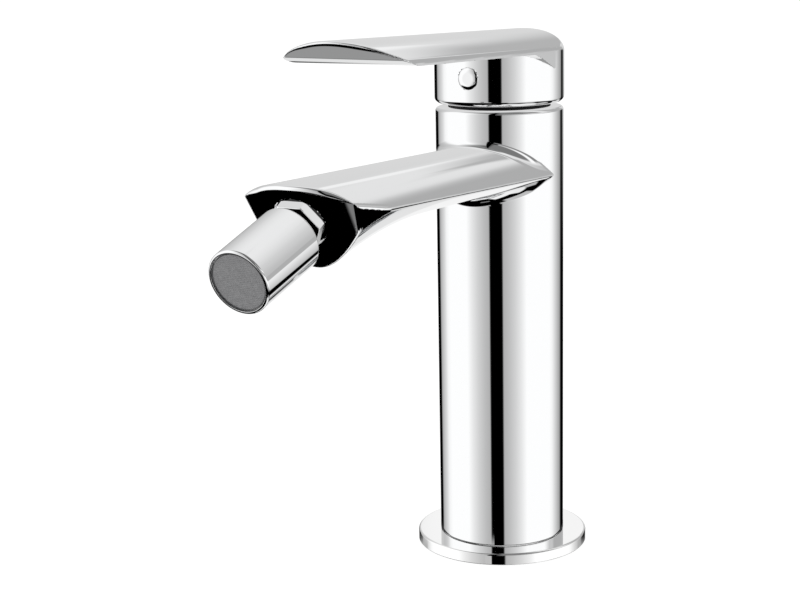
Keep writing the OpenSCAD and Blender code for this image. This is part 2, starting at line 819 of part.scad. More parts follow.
module aerator_screen() {
    inner_r = cup_out_r - cage_wall;
    color(dark) from_ball(nozzle_pitch) translate([0, 0, screen_z]) {
        tube(cup_out_r, inner_r, screen_t);
        intersection() {
            cylinder(r = inner_r + eps, h = screen_t);
            for (i = [1 : screen_bars])
                translate([-through / 2, -casing_bore / 2 + cage_wall + i * bar_pitch - bar_w / 2, 0])
                    cube([through, bar_w, screen_t]);
        }
    }
}

mixer_body();
base_flange();
base_seal();
stud_bush();
hot_inlet();
cold_inlet();
cartridge_seals();
cartridge_base();
fixed_disc();
cartridge_housing();
cartridge_nut();
neck_ring();
spindle_guide();
pivot_pin();
moving_disc();
disc_carrier();
spindle();
lever();
grub_screw();
indicator_plug();
ball_nipple();
nipple_seal();
ball_liner();
swivel_cup();
nozzle_casing();
nozzle_washer();
aerator_cage();
aerator_screen();
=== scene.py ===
import json
import math
import bpy
import numpy as np
from mathutils import Matrix, Vector


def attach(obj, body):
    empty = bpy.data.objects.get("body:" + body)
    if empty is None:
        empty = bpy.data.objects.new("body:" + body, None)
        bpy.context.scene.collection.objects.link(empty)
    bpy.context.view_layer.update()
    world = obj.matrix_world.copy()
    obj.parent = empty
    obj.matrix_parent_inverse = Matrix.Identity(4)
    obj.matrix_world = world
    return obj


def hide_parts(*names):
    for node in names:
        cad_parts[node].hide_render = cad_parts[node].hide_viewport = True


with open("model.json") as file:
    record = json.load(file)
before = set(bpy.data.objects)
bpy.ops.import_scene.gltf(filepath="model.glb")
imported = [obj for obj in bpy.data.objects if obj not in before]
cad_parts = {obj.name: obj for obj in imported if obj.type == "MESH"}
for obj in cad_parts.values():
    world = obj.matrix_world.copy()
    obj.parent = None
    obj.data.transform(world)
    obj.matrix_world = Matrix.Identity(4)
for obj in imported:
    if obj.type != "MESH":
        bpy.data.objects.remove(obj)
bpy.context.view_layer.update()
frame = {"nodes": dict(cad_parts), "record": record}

scene = bpy.context.scene
scene.view_settings.view_transform = "Standard"
mm = 0.001
print("frame loaded:", len(frame["nodes"]), "nodes")

# camera at the photograph's angle, its focal length in pixels of an 800 pixel wide frame
viewpoint = dict(azimuth=28.0, distance=600.55, height=214.76, yaw=3.38, tilt=11.93, roll=-1.069, focal=1739.925)


def addCamera():
    turn = {key: math.radians(viewpoint[key]) for key in ("azimuth", "yaw", "tilt", "roll")}
    place = Vector((math.sin(turn["azimuth"]) * viewpoint["distance"],
                    -math.cos(turn["azimuth"]) * viewpoint["distance"], viewpoint["height"])) * mm
    heading = turn["azimuth"] + turn["yaw"]
    forward = Vector((-math.sin(heading) * math.cos(turn["tilt"]), math.cos(heading) * math.cos(turn["tilt"]),
                      -math.sin(turn["tilt"])))
    right = Vector((math.cos(heading), math.sin(heading), 0))
    up = right.cross(forward)
    cosRoll, sinRoll = math.cos(turn["roll"]), math.sin(turn["roll"])
    columns = (right * cosRoll + up * sinRoll, up * cosRoll - right * sinRoll, -forward)
    camera = bpy.data.objects.new("camera", bpy.data.cameras.new("camera"))
    scene.collection.objects.link(camera)
    matrix = Matrix(columns).transposed().to_4x4()
    matrix.translation = place
    camera.matrix_world = matrix
    camera.data.sensor_width = 36
    camera.data.lens = viewpoint["focal"] * 36 / 800
    camera.data.clip_start, camera.data.clip_end = 0.01, 60
    scene.camera = camera


addCamera()

# the studio that the chrome mirrors: headings in degrees from the dark gap between the two front lights,
# to the right positive, and heights in degrees above the horizon
studio = dict(
    gapHeading=20.4,
    lowRing=[(-180, 0), (-137.5, 0), (-134, 0.4), (-128, 0.52), (-115, 0.74), (-107, 0.97), (-97, 1.06),
             (-56, 1.06), (-45, 0.85), (-34, 0.68), (-22, 0.54), (-12.8, 0.46), (-11.1, 0),
             (11.1, 0), (12.8, 0.46), (22, 0.54), (34, 0.68), (45, 0.85), (56, 1.06),
             (108, 1.06), (116, 0.97), (126, 0.72), (137, 0.5), (146, 0.36), (149.5, 0.06), (153, 0), (180, 0)],
    rearSky=[(-90, 0.5), (0, 0.5), (14, 0.56), (22, 0.62), (31, 0.67), (40, 0.75), (50, 0.82), (60, 0.87), (90, 0.89)],
    frontShare=[(-180, 0), (-140, 0), (-105, 1), (95, 1), (108, 0), (180, 0)],
    lift=[(-90, 0), (-3, 0), (3, 1), (90, 1)],
    frontTop=[(-90, 1), (45, 1), (65, 0.25), (90, 0.25)],
    rearTop=[(-90, 1), (64, 1), (72, 0.25), (90, 0.25)],
    ground=[(-90, 0), (-28.5, 0), (-23.5, 1), (90, 1)],
    # soft cards, a later one over an earlier one: heading from straight behind, right positive, from, to and
    # softness, then height from, to and softness, then level
    cards=[(-20, 17, 8, -6, 34, 10, 0.70), (-7, 17, 10, 16, 34, 8, 0.81), (-11, -3, 2.5, 17.6, 20.9, 1.4, 0.92),
           (5, 21, 3, 18, 25.6, 1.2, 0.46), (19.5, 60, 9, 1, 46, 6, 0.44), (-2, 40, 10, 37, 52, 6, 0.42),
           (48, 90, 8, -3.6, 6, 1.5, 0.45), (84, 178, 16, 3.5, 14.5, 4, 0.25), (84, 178, 16, 24, 80, 6, 0.2),
           # below the horizon
           (-173.2, -164, 1, -26, -19.85, 0.5, 0.52), (-62, -30, 6, -26, -19.85, 0.5, 0.42),
           (4, 44, 4, -26, -19.85, 0.5, 0.42), (-46, 14, 10, -36, -21, 4, 0.8), (8, 36, 8, -34, -21, 2, 0.75),
           (-14, 2, 4, -22, -8, 3, 0.93), (-46, 14, 10, -52, -37.5, 5, 0.31), (32, 50, 3, -29.5, -21.4, 0.8, 0.0),
           (-179, -146.5, 5, -67, -59, 3, 0.2), (10, 104, 10, -70, -53.5, 4, 0.88), (28, 62, 8, -54, -40.5, 3, 0.5),
           (98, 155, 8, -43, -22.5, 2, 0.55), (-70, 160, 10, -95, -66, 3, 0.94)],
    # the grey card behind that the lever mirrors: its upper edge rises to the right
    overhead=dict(left=-1, leftSoft=8, right=8, rightSoft=4, edge=21.7, slope=0.62, edgeSoft=4, deep=14, level=0.47),
    softLight=0.9,
)


def rampNode(tree, stops, low, high):
    ramp = tree.nodes.new("ShaderNodeValToRGB")
    elements = ramp.color_ramp.elements
    spots = [((at - low) / (high - low), level) for at, level in stops]
    elements[0].position, elements[1].position = spots[0][0], spots[-1][0]
    elements[0].color, elements[1].color = [(level, level, level, 1) for level in (spots[0][1], spots[-1][1])]
    for at, level in spots[1:-1]:
        elements.new(at).color = (level, level, level, 1)
    return ramp


def mathNode(tree, operation, *values):
    node = tree.nodes.new("ShaderNodeMath")
    node.operation = operation
    for socket, value in zip(node.inputs, values):
        if isinstance(value, bpy.types.NodeSocket):
            tree.links.new(value, socket)
        else:
            socket.default_value = value
    return node.outputs[0]


def dotNode(tree, vector, axis):
    node = tree.nodes.new("ShaderNodeVectorMath")
    node.operation = "DOT_PRODUCT"
    tree.links.new(vector, node.inputs[0])
    node.inputs[1].default_value = axis
    return node.outputs["Value"]


def levelNode(tree, driver, stops, low, high):
    scaled = mathNode(tree, "DIVIDE", mathNode(tree, "SUBTRACT", driver, math.radians(low)), math.radians(high - low))
    ramp = rampNode(tree, stops, low, high)
    tree.links.new(scaled, ramp.inputs["Fac"])
    return ramp.outputs["Color"]


def bandNode(tree, value, low, high, soft, highSoft=None):
    # one between low and high, fading out over soft on either side
    sides, last = [], (highSoft or soft) / 2
    for start, end in ((low - soft / 2, low + soft / 2), (high + last, high - last)):
        side = tree.nodes.new("ShaderNodeMapRange")
        side.interpolation_type = "SMOOTHSTEP"
        tree.links.new(value, side.inputs["Value"])
        side.inputs["From Min"].default_value = math.radians(min(start, end))
        side.inputs["From Max"].default_value = math.radians(max(start, end))
        side.inputs["To Min"].default_value, side.inputs["To Max"].default_value = (0, 1) if start < end else (1, 0)
        sides.append(side.outputs["Result"])
    return mathNode(tree, "MULTIPLY", *sides)


def blendNode(tree, first, second, share):
    change = mathNode(tree, "SUBTRACT", second, first)
    return mathNode(tree, "ADD", first, mathNode(tree, "MULTIPLY", share, change))


def addStudio():
    world = bpy.data.worlds.new("studio")
    scene.world = world
    world.use_nodes = True
    tree = world.node_tree
    tree.nodes.clear()
    direction = tree.nodes.new("ShaderNodeTexCoord").outputs["Generated"]
    gap = math.radians(studio["gapHeading"])
    ahead = dotNode(tree, direction, (math.sin(gap), -math.cos(gap), 0))
    aside = dotNode(tree, direction, (math.cos(gap), math.sin(gap), 0))
    heading = mathNode(tree, "ARCTAN2", aside, ahead)
    behind = mathNode(tree, "ARCTAN2", aside, mathNode(tree, "MULTIPLY", ahead, -1))
    height = mathNode(tree, "ARCSINE", dotNode(tree, direction, (0, 0, 1)))
    low = levelNode(tree, heading, studio["lowRing"], -180, 180)
    rear = levelNode(tree, height, studio["rearSky"], -90, 90)
    high = blendNode(tree, rear, low, levelNode(tree, heading, studio["frontShare"], -180, 180))
    level = blendNode(tree, low, high, levelNode(tree, height, studio["lift"], -90, 90))
    level = mathNode(tree, "MULTIPLY", level, levelNode(tree, height, studio["ground"], -90, 90))
    front = levelNode(tree, heading, studio["frontShare"], -180, 180)
    rearTop = levelNode(tree, height, studio["rearTop"], -90, 90)
    top = blendNode(tree, rearTop, levelNode(tree, height, studio["frontTop"], -90, 90), front)
    level = mathNode(tree, "MULTIPLY", level, top)
    for headFrom, headTo, headSoft, lowEdge, highEdge, edgeSoft, shade in studio["cards"]:
        mask = mathNode(tree, "MULTIPLY", bandNode(tree, behind, headFrom, headTo, headSoft),
                        bandNode(tree, height, lowEdge, highEdge, edgeSoft))
        level = blendNode(tree, level, shade, mask)
    card = studio["overhead"]
    edge = mathNode(tree, "MULTIPLY_ADD", behind, card["slope"], math.radians(card["edge"]))
    over = mathNode(tree, "SUBTRACT", height, edge)
    wide = bandNode(tree, behind, card["left"], card["right"], card["leftSoft"], card["rightSoft"])
    mask = mathNode(tree, "MULTIPLY", wide, bandNode(tree, over, -card["deep"], 0, card["edgeSoft"]))
    level = blendNode(tree, level, card["level"], mask)
    mirrored = tree.nodes.new("ShaderNodeBackground")
    tree.links.new(level, mirrored.inputs["Color"])
    soft = tree.nodes.new("ShaderNodeBackground")
    soft.inputs["Color"].default_value = (1, 1, 1, 1)
    soft.inputs["Strength"].default_value = studio["softLight"]
    backdrop = tree.nodes.new("ShaderNodeBackground")
    backdrop.inputs["Color"].default_value = (1, 1, 1, 1)
    path = tree.nodes.new("ShaderNodeLightPath")
    inner, outer = tree.nodes.new("ShaderNodeMixShader"), tree.nodes.new("ShaderNodeMixShader")
    tree.links.new(path.outputs["Is Glossy Ray"], inner.inputs[0])
    tree.links.new(soft.outputs[0], inner.inputs[1])
    tree.links.new(mirrored.outputs[0], inner.inputs[2])
    tree.links.new(path.outputs["Is Camera Ray"], outer.inputs[0])
    tree.links.new(inner.outputs[0], outer.inputs[1])
    tree.links.new(backdrop.outputs[0], outer.inputs[2])
    output = tree.nodes.new("ShaderNodeOutputWorld")
    tree.links.new(outer.outputs[0], output.inputs["Surface"])


addStudio()


floorSpec = dict(radius=9.0, sides=96, paint=0.24, glow=0.86, drop=0.00005)


def addFloor():
    spec = floorSpec
    ring = [(spec["radius"] * math.cos(2 * math.pi * i / spec["sides"]),
             spec["radius"] * math.sin(2 * math.pi * i / spec["sides"]), -spec["drop"]) for i in range(spec["sides"])]
    mesh = bpy.data.meshes.new("floor")
    mesh.from_pydata(ring, [], [list(range(spec["sides"]))])
    floor = bpy.data.objects.new("floor", mesh)
    scene.collection.objects.link(floor)
    paint = bpy.data.materials.new("paleFloor")
    paint.use_nodes = True
    tree = paint.node_tree
    tree.nodes.clear()
    matt, glow = tree.nodes.new("ShaderNodeBsdfDiffuse"), tree.nodes.new("ShaderNodeEmission")
    matt.inputs["Color"].default_value = (spec["paint"],) * 3 + (1,)
    glow.inputs["Strength"].default_value = spec["glow"]
    both, output = tree.nodes.new("ShaderNodeAddShader"), tree.nodes.new("ShaderNodeOutputMaterial")
    tree.links.new(matt.outputs[0], both.inputs[0])
    tree.links.new(glow.outputs[0], both.inputs[1])
    tree.links.new(both.outputs[0], output.inputs["Surface"])
    mesh.materials.append(paint)
    floor.visible_glossy = False


addFloor()
print("camera, studio and floor made")

# finishes: roughness goes between two values with a soft mottle, relief is a fine grain in millimetres
finishes = dict(
    chrome=dict(tone=(0.93, 0.935, 0.94), metal=1.0, rough=(0.012, 0.03), mottle=140, grain=2600, relief=0.0003),
    # the same chrome with a lighter tone: painted light that makes the base plate's reflections brighter than the
    # body's
    plateChrome=dict(tone=(0.985, 0.985, 0.985), metal=1.0, rough=(0.012, 0.03), mottle=140, grain=2600, relief=0.0003),
    brass=dict(tone=(0.72, 0.52, 0.22), second=(0.62, 0.42, 0.17), metal=1.0, rough=(0.24, 0.38), mottle=160,
               grain=2400, relief=0.006, turned=True),
    steel=dict(tone=(0.56, 0.56, 0.57), second=(0.48, 0.48, 0.49), metal=1.0, rough=(0.28, 0.42), mottle=220,
               grain=3000, relief=0.006),
    rubber=dict(tone=(0.022, 0.022, 0.023), second=(0.034, 0.034, 0.035), metal=0.0, rough=(0.55, 0.75), mottle=260,
                grain=3200, relief=0.02),
    whitePlastic=dict(tone=(0.82, 0.82, 0.80), second=(0.77, 0.77, 0.74), metal=0.0, rough=(0.28, 0.4), mottle=120,
                      grain=2400, relief=0.008),
    darkPlastic=dict(tone=(0.005, 0.005, 0.006), second=(0.009, 0.009, 0.01), metal=0.0, shine=0.12,
                     rough=(0.4, 0.55), mottle=180, grain=2600, relief=0.008),
    ceramic=dict(tone=(0.84, 0.82, 0.76), second=(0.78, 0.76, 0.7), metal=0.0, rough=(0.1, 0.2), mottle=320,
                 grain=4200, relief=0.003),
    screenGrey=dict(tone=(0.20, 0.20, 0.205), second=(0.24, 0.24, 0.245), metal=0.0, rough=(0.4, 0.55), mottle=900,
                    grain=5200, relief=0.006),
)


def noiseNode(tree, vector, scale, detail):
    noise = tree.nodes.new("ShaderNodeTexNoise")
    noise.inputs["Scale"].default_value = scale
    noise.inputs["Detail"].default_value = detail
    tree.links.new(vector, noise.inputs["Vector"])
    return noise.outputs["Fac"]


def rangeNode(tree, value, low, high):
    node = tree.nodes.new("ShaderNodeMapRange")
    tree.links.new(value, node.inputs["Value"])
    node.inputs["From Min"].default_value, node.inputs["From Max"].default_value = 0.3, 0.7
    node.inputs["To Min"].default_value, node.inputs["To Max"].default_value = low, high
    return node.outputs["Result"]


def makeFinish(name, spec):
    material = bpy.data.materials.new(name)
    material.use_nodes = True
    tree = material.node_tree
    shader = tree.nodes["Principled BSDF"]
    spot = tree.nodes.new("ShaderNodeTexCoord").outputs["Object"]
    if spec.get("turned"):  # turned pieces show rings, so the grain is stretched round the upright axis
        mapping = tree.nodes.new("ShaderNodeMapping")
        mapping.inputs["Scale"].default_value = (0.25, 0.25, 2.2)
        tree.links.new(spot, mapping.inputs["Vector"])
        spot = mapping.outputs["Vector"]
    mottle = noiseNode(tree, spot, spec["mottle"], 3)
    grain = noiseNode(tree, spot, spec["grain"], 2)
    shader.inputs["Metallic"].default_value = spec["metal"]
    shader.inputs["Specular IOR Level"].default_value = spec.get("shine", 0.5)
    tree.links.new(rangeNode(tree, mottle, *spec["rough"]), shader.inputs["Roughness"])
    if "second" in spec:
        blend = tree.nodes.new("ShaderNodeMix")
        blend.data_type = "RGBA"
        colourIn = [socket for socket in blend.inputs if socket.type == "RGBA"]
        colourIn[0].default_value, colourIn[1].default_value = spec["tone"] + (1,), spec["second"] + (1,)
        tree.links.new(rangeNode(tree, mottle, 0, 1), blend.inputs["Factor"])
        tree.links.new([socket for socket in blend.outputs if socket.type == "RGBA"][0], shader.inputs["Base Color"])
    else:
        shader.inputs["Base Color"].default_value = spec["tone"] + (1,)
    bump = tree.nodes.new("ShaderNodeBump")
    bump.inputs["Distance"].default_value = spec["relief"] * mm
    bump.inputs["Strength"].default_value = 0.5
    tree.links.new(grain, bump.inputs["Height"])
    tree.links.new(bump.outputs["Normal"], shader.inputs["Normal"])
    return material


material = {name: makeFinish(name, spec) for name, spec in finishes.items()}
print("finishes made:", len(material))


# rounded joins of distance fields, in millimetres, negative inside
def roundBoth(first, second, radius):
    return (np.minimum(-radius, np.maximum(first, second))
            + np.hypot(np.maximum(radius + first, 0), np.maximum(radius + second, 0)))


def roundEither(first, second, radius):
    return (np.maximum(radius, np.minimum(first, second))
            - np.hypot(np.maximum(radius - first, 0), np.maximum(radius - second, 0)))


def smoothStep(value, start, end):
    share = np.clip((value - start) / (end - start), 0, 1)
    return share * share * (3 - 2 * share)


def slopeOf(field, spots, step=0.004):
    slope = np.empty_like(spots)
    for axis in range(3):
        ahead, behind = spots.copy(), spots.copy()
        ahead[:, axis] += step
        behind[:, axis] -= step
        slope[:, axis] = (field(*ahead.T) - field(*behind.T)) / (2 * step)
    return slope


def facing(field, spots, step):
    slope = slopeOf(field, spots, step)
    return slope / np.maximum(np.linalg.norm(slope, axis=1, keepdims=True), 1e-9)


def skinField(field, low, high, step):
    # one point in each cell that the surface crosses, a four-sided face for each grid edge that it crosses
    low, high = np.array(low, float), np.array(high, float)
    counts = np.ceil((high - low) / step).astype(int) + 1
    lines = [low[axis] + step * np.arange(counts[axis]) for axis in range(3)]
    values = field(*np.meshgrid(*lines, indexing="ij"))
    inside = values < 0
    cornerSteps = [(i, j, k) for i in (0, 1) for j in (0, 1) for k in (0, 1)]

    def corner(grid, offset):
        return grid[tuple(slice(o, n - 1 + o) for o, n in zip(offset, grid.shape))]

    hits = sum(corner(inside, offset).astype(np.int8) for offset in cornerSteps)
    cells = np.argwhere((hits > 0) & (hits < 8))
    number = np.full([n - 1 for n in counts], -1)
    number[tuple(cells.T)] = np.arange(len(cells))
    total, crossings = np.zeros((len(cells), 3)), np.zeros(len(cells))
    planes, pulls = np.zeros((len(cells), 3, 3)), np.zeros((len(cells), 3))
    for start in cornerSteps:
        for axis in range(3):
            if start[axis]:
                continue
            end = tuple(1 if n == axis else start[n] for n in range(3))
            first = values[tuple((cells + start).T)]
            second = values[tuple((cells + end).T)]
            cross = (first < 0) != (second < 0)
            share = np.where(cross, first / np.where(cross, first - second, 1), 0)
            spot = np.repeat(np.array(start, float)[None], len(cells), 0)
            spot[:, axis] += share
            total += spot * cross[:, None]
            crossings += cross
            lies = low + step * (cells[cross] + spot[cross])
            face = slopeOf(field, lies)
            face /= np.maximum(np.linalg.norm(face, axis=1, keepdims=True), 1e-9)
            planes[cross] += face[:, :, None] * face[:, None, :]
            pulls[cross] += face * (face * lies).sum(1, keepdims=True)
    # each point goes to where the tangent planes of its cell meet, so that it finds the edges
    middle = low + step * (cells + total / crossings[:, None])
    hold = 0.015 * crossings[:, None]
    spots = np.linalg.solve(planes + hold[:, :, None] * np.eye(3), (pulls + hold * middle)[:, :, None])[:, :, 0]
    spots = middle + np.clip(spots - middle, -0.8 * step, 0.8 * step)
    for turn in range(5):  # and slides on to the surface
        slope = slopeOf(field, spots)
        size = np.maximum((slope ** 2).sum(1), 0.05)
        move = -(field(*spots.T) / size)[:, None] * slope
        length = np.linalg.norm(move, axis=1, keepdims=True)
        spots += move * np.minimum(1, 0.5 * step / np.maximum(length, 1e-9))
    normals = facing(field, spots, 0.2 * step)
    faces = []
    rounds = {0: ((0, -1, -1), (0, 0, -1), (0, 0, 0), (0, -1, 0)),
              1: ((-1, 0, -1), (-1, 0, 0), (0, 0, 0), (0, 0, -1)),
              2: ((-1, -1, 0), (0, -1, 0), (0, 0, 0), (-1, 0, 0))}
    for axis, around in rounds.items():
        cut = [slice(1, n - 1) for n in counts]
        cut[axis] = slice(0, counts[axis] - 1)
        nextCut = list(cut)
        nextCut[axis] = slice(1, counts[axis])
        here, there = inside[tuple(cut)], inside[tuple(nextCut)]
        base = np.array([0 if n == axis else 1 for n in range(3)])
        for wanted, order in ((here & ~there, around), (~here & there, around[::-1])):
            edges = np.argwhere(wanted) + base
            faces.append(np.stack([number[tuple((edges + offset).T)] for offset in order], 1))
    faces = np.concatenate(faces)
    corners = normals[faces]
    # at a crease each face keeps the normal of its own side
    centres = spots[faces].mean(1, keepdims=True)
    own = facing(field, (0.6 * spots[faces] + 0.4 * centres).reshape(-1, 3), 0.1 * step).reshape(corners.shape)
    corners = np.where((corners * own).sum(2, keepdims=True) < math.cos(math.radians(11)), own, corners)
    return spots, faces, corners


def makePiece(name, spots, faces, normals, finish, body, slot, node, mirrored=True):
    mesh = bpy.data.meshes.new(name)
    mesh.from_pydata((np.asarray(spots) * mm).tolist(), [], [list(face) for face in faces])
    mesh.shade_smooth()
    if np.ndim(normals) == 3:  # one for each corner of each face
        mesh.normals_split_custom_set(normals.reshape(-1, 3).tolist())
    else:
        mesh.normals_split_custom_set_from_vertices(np.asarray(normals).tolist())
    mesh.materials.append(material[finish])
    piece = bpy.data.objects.new(name, mesh)
    scene.collection.objects.link(piece)
    piece.visible_glossy = mirrored  # the photograph's tops and crowns show the studio alone
    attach(piece, body)
    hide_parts(node)
    print(name, "made:", len(mesh.vertices), "points")
    return piece


def outline(points, closed, arcSteps=8):
    # points are (radius, height, rounding); a sharp corner gives two spots with their own normals
    spots, normals = [], []
    count = len(points)
    for i, (radius, height, rounding) in enumerate(points):
        here = np.array((radius, height), float)
        back = here - np.array(points[i - 1][:2], float)
        ahead = np.array(points[(i + 1) % count][:2], float) - here
        backLength, aheadLength = np.linalg.norm(back), np.linalg.norm(ahead)
        back, ahead = back / backLength, ahead / aheadLength
        backNormal, aheadNormal = np.array((back[1], -back[0])), np.array((ahead[1], -ahead[0]))
        if not closed and i == 0:
            spots.append(here), normals.append(aheadNormal)
        elif not closed and i == count - 1:
            spots.append(here), normals.append(backNormal)
        elif rounding == 0:
            spots += [here, here]
            normals += [backNormal, aheadNormal]
        else:
            turn = math.atan2(back[0] * ahead[1] - back[1] * ahead[0], back @ ahead)
            half = math.tan(abs(turn) / 2)
            reach = min(rounding * half, 0.85 * backLength, 0.85 * aheadLength)
            arc = reach / half * math.copysign(1, turn)
            centre = here - back * reach - arc * backNormal
            for step in range(arcSteps + 1):
                angle = turn * step / arcSteps
                normal = np.array((backNormal[0] * math.cos(angle) - backNormal[1] * math.sin(angle),
                                   backNormal[0] * math.sin(angle) + backNormal[1] * math.cos(angle)))
                spots.append(centre + arc * normal)
                normals.append(normal)
    return np.array(spots), np.array(normals)


def lathe(points, closed, sides, arcSteps=8):
    line, lineNormals = outline(points, closed, arcSteps)
    angles = 2 * np.pi * np.arange(sides) / sides
    circle = np.stack([np.cos(angles), np.sin(angles)], 1)
    spots, normals, rows = [], [], []
    for (radius, height), (outward, upward) in zip(line, lineNormals):
        start = len(spots)
        if radius < 1e-6:
            spots.append((0, 0, height))
            normals.append((0, 0, math.copysign(1, upward)))
            rows.append([start] * sides)
        else:
            spots += [(radius * c, radius * s, height) for c, s in circle]
            normals += [(outward * c, outward * s, upward) for c, s in circle]
            rows.append(list(range(start, start + sides)))
    faces = []
    pairs = list(zip(rows, rows[1:])) + ([(rows[-1], rows[0])] if closed else [])
    for (lower, upper), i in zip(pairs, range(len(pairs))):
        if np.allclose(line[i], line[(i + 1) % len(line)]):
            continue
        for j in range(sides):
            n = (j + 1) % sides
            face = [lower[j], lower[n], upper[n], upper[j]]
            faces.append([v for v, before in zip(face, face[-1:] + face[:-1]) if v != before])
    return np.array(spots, float), faces, np.array(normals, float)


def fromBall(pitch):
    # turns a piece that points along its own +Z so that it leaves the swivel ball, pitch degrees below level
    turn = Matrix.Rotation(math.radians(90 + pitch), 3, "X")
    return np.array(turn), np.array((0, -131.7201, 128.35))


def placed(parts, pitch):
    spots, faces, normals = parts
    turn, centre = fromBall(pitch)
    return spots @ turn.T + centre, faces, normals @ turn.T  # normals by point or by corner


def joined(*parts):
    spots, faces, normals, start = [], [], [], 0
    for partSpots, partFaces, partNormals in parts:
        spots.append(partSpots)
        normals.append(partNormals)
        faces += [[v + start for v in face] for face in partFaces]
        start += len(partSpots)
    return np.concatenate(spots), faces, np.concatenate(normals)


# column and spout; sizes in millimetres, slopes in degrees
bodySpec = dict(
    columnRadius=22.0, top=155.8, topEdge=1.2, footRadius=0.5, foot=4.0, hollow=17.5, ceiling=112.0, cutAt=60.0,
    neckRadius=16.75, neckTop=159.8, seatRadius=12.43, seat=139.0, nutRadius=14.03, nutSeat=156.0,
    halfWidth=21.9, sideEdge=133.8, edgeRise=2.0, ridge=143.3, ridgeRise=0.8, crownPower=2.7, band=1.2,
    keel=127.3, keelFall=12.0, fallFrom=67.8, fallRun=55.0, keelRound=0.6, topFillet=3.0, lowFillet=4.2,
    endRadius=60.0, endAt=-10.3, spotRadius=8.6, spotAt=-12.3,
    bevelSpot=(21.9, -109.8, 137.63), bevelFace=(0.937, -0.216, -0.276),
    rimRound=2.0, rimFade=(12, 20.5), bevelRound=0.9, sideRound=0.3, lowRound=0.5, cell=0.45,
    rootRadius=21.985, rootInner=20.4, rootLow=122.0, rootHigh=150.0, rootFlare=24,
    bossRadius=7.0, bossBore=5.03, bossY=11.5, bossLow=9.0, bossHigh=27.0,
)


def spoutField(x, y, z):
    s = bodySpec
    across, out = np.abs(x), -y
    share = np.clip(across / s["halfWidth"], 0, 1.3)
    edge = s["sideEdge"] + math.tan(math.radians(s["edgeRise"])) * out
    ridge = s["ridge"] + math.tan(math.radians(s["ridgeRise"])) * out
    past = np.maximum(out - s["fallFrom"], 0) / s["fallRun"]
    keel = s["keel"] - s["keelFall"] * past ** 2
    power = s["crownPower"]
    crown = ridge - (ridge - edge) * share ** power
    top = (z - crown) / np.sqrt(1 + (power * (ridge - edge) * share ** (power - 1) / s["halfWidth"]) ** 2)
    norm = math.sqrt(1 + 1 / s["keelRound"] ** 2) - 1
    root = np.sqrt(1 + (share / s["keelRound"]) ** 2)
    depth = edge - s["band"] - keel
    hull = keel + depth * (root - 1) / norm
    hullSlope = depth * share / s["keelRound"] ** 2 / root / norm / s["halfWidth"]
    under = (hull - z) / np.sqrt(1 + hullSlope ** 2 + (2 * s["keelFall"] * past / s["fallRun"]) ** 2)
    # the spout grows out of the column's round with a fillet that fades out at its side edges
    ring = np.hypot(x, y)
    column = ring - s["rootRadius"]
    fade = 1 - np.clip(share, 0, 1) ** 12
    turn, centre = fromBall(30)
    local = [turn[0, n] * x + turn[1, n] * (y - centre[1]) + turn[2, n] * (z - centre[2]) for n in range(3)]
    inner = local[2] - s["endAt"] + s["endRadius"]
    end = np.where(inner > 0, np.hypot(local[0], inner), np.abs(local[0])) - s["endRadius"]
    bevel = sum(f * (v - p) for f, v, p in zip(s["bevelFace"], (across, y, z), s["bevelSpot"]))
    upper = roundEither(column, top, s["topFillet"] * fade)
    lower = roundEither(column, under, s["lowFillet"] * fade)
    # the end's upper rim is rounded, less so towards its sides
    spout = roundBoth(upper, end, s["rimRound"] * (1 - smoothStep(across, *s["rimFade"])))
    spout = roundBoth(roundBoth(spout, bevel, s["bevelRound"]), across - s["halfWidth"], s["sideRound"])
    spout = roundBoth(spout, lower, s["lowRound"])
    seatCut = np.maximum(np.hypot(local[0], local[1]) - s["spotRadius"], s["spotAt"] - local[2])
    spout = np.maximum(spout, -seatCut)
    # only the part in front of the column's wall is kept
    floor = s["rootLow"] - z - np.maximum(ring - s["rootFlare"], 0)
    limits = np.maximum(np.maximum(y, s["rootInner"] - ring), np.maximum(z - s["rootHigh"], floor))
    return np.maximum(spout, limits)


def addBody():
    s = bodySpec
    parts = skinField(spoutField, (-23, -131, 111), (23, 1, 151), s["cell"])
    makePiece("spoutCasting", *parts, "chrome", "body", "chrome", "mixer_body", False)
    # the flange mirrors the foot of the column, so the column is in two lengths
    tube = lathe([(s["hollow"], s["foot"], 0.3), (s["columnRadius"], s["foot"], s["footRadius"]),
                  (s["columnRadius"], s["cutAt"], 0), (s["hollow"], s["cutAt"], 0)], True, 320)
    boss = lathe([(s["bossBore"], s["bossLow"], 0.3), (s["bossRadius"], s["bossLow"], 0.5),
                  (s["bossRadius"], s["bossHigh"], 0.5), (s["bossBore"], s["bossHigh"], 0.3)], True, 48, 4)
    boss[0][:, 1] += s["bossY"]
    makePiece("columnTube", *joined(tube, boss), "chrome", "body", "chrome", "mixer_body")
    head = lathe([(0, s["ceiling"], 0), (s["hollow"], s["ceiling"], 0), (s["hollow"], s["cutAt"], 0),
                  (s["columnRadius"], s["cutAt"], 0), (s["columnRadius"], s["top"], s["topEdge"]),
                  (s["neckRadius"], s["top"], 0.2), (s["neckRadius"], s["neckTop"], 0.3),
                  (s["nutRadius"], s["neckTop"], 0.2), (s["nutRadius"], s["nutSeat"], 0),
                  (s["seatRadius"], s["nutSeat"], 0), (s["seatRadius"], s["seat"], 0), (0, s["seat"], 0)], False, 320)
    makePiece("columnHead", *head, "chrome", "body", "chrome", "mixer_body", False)


addBody()

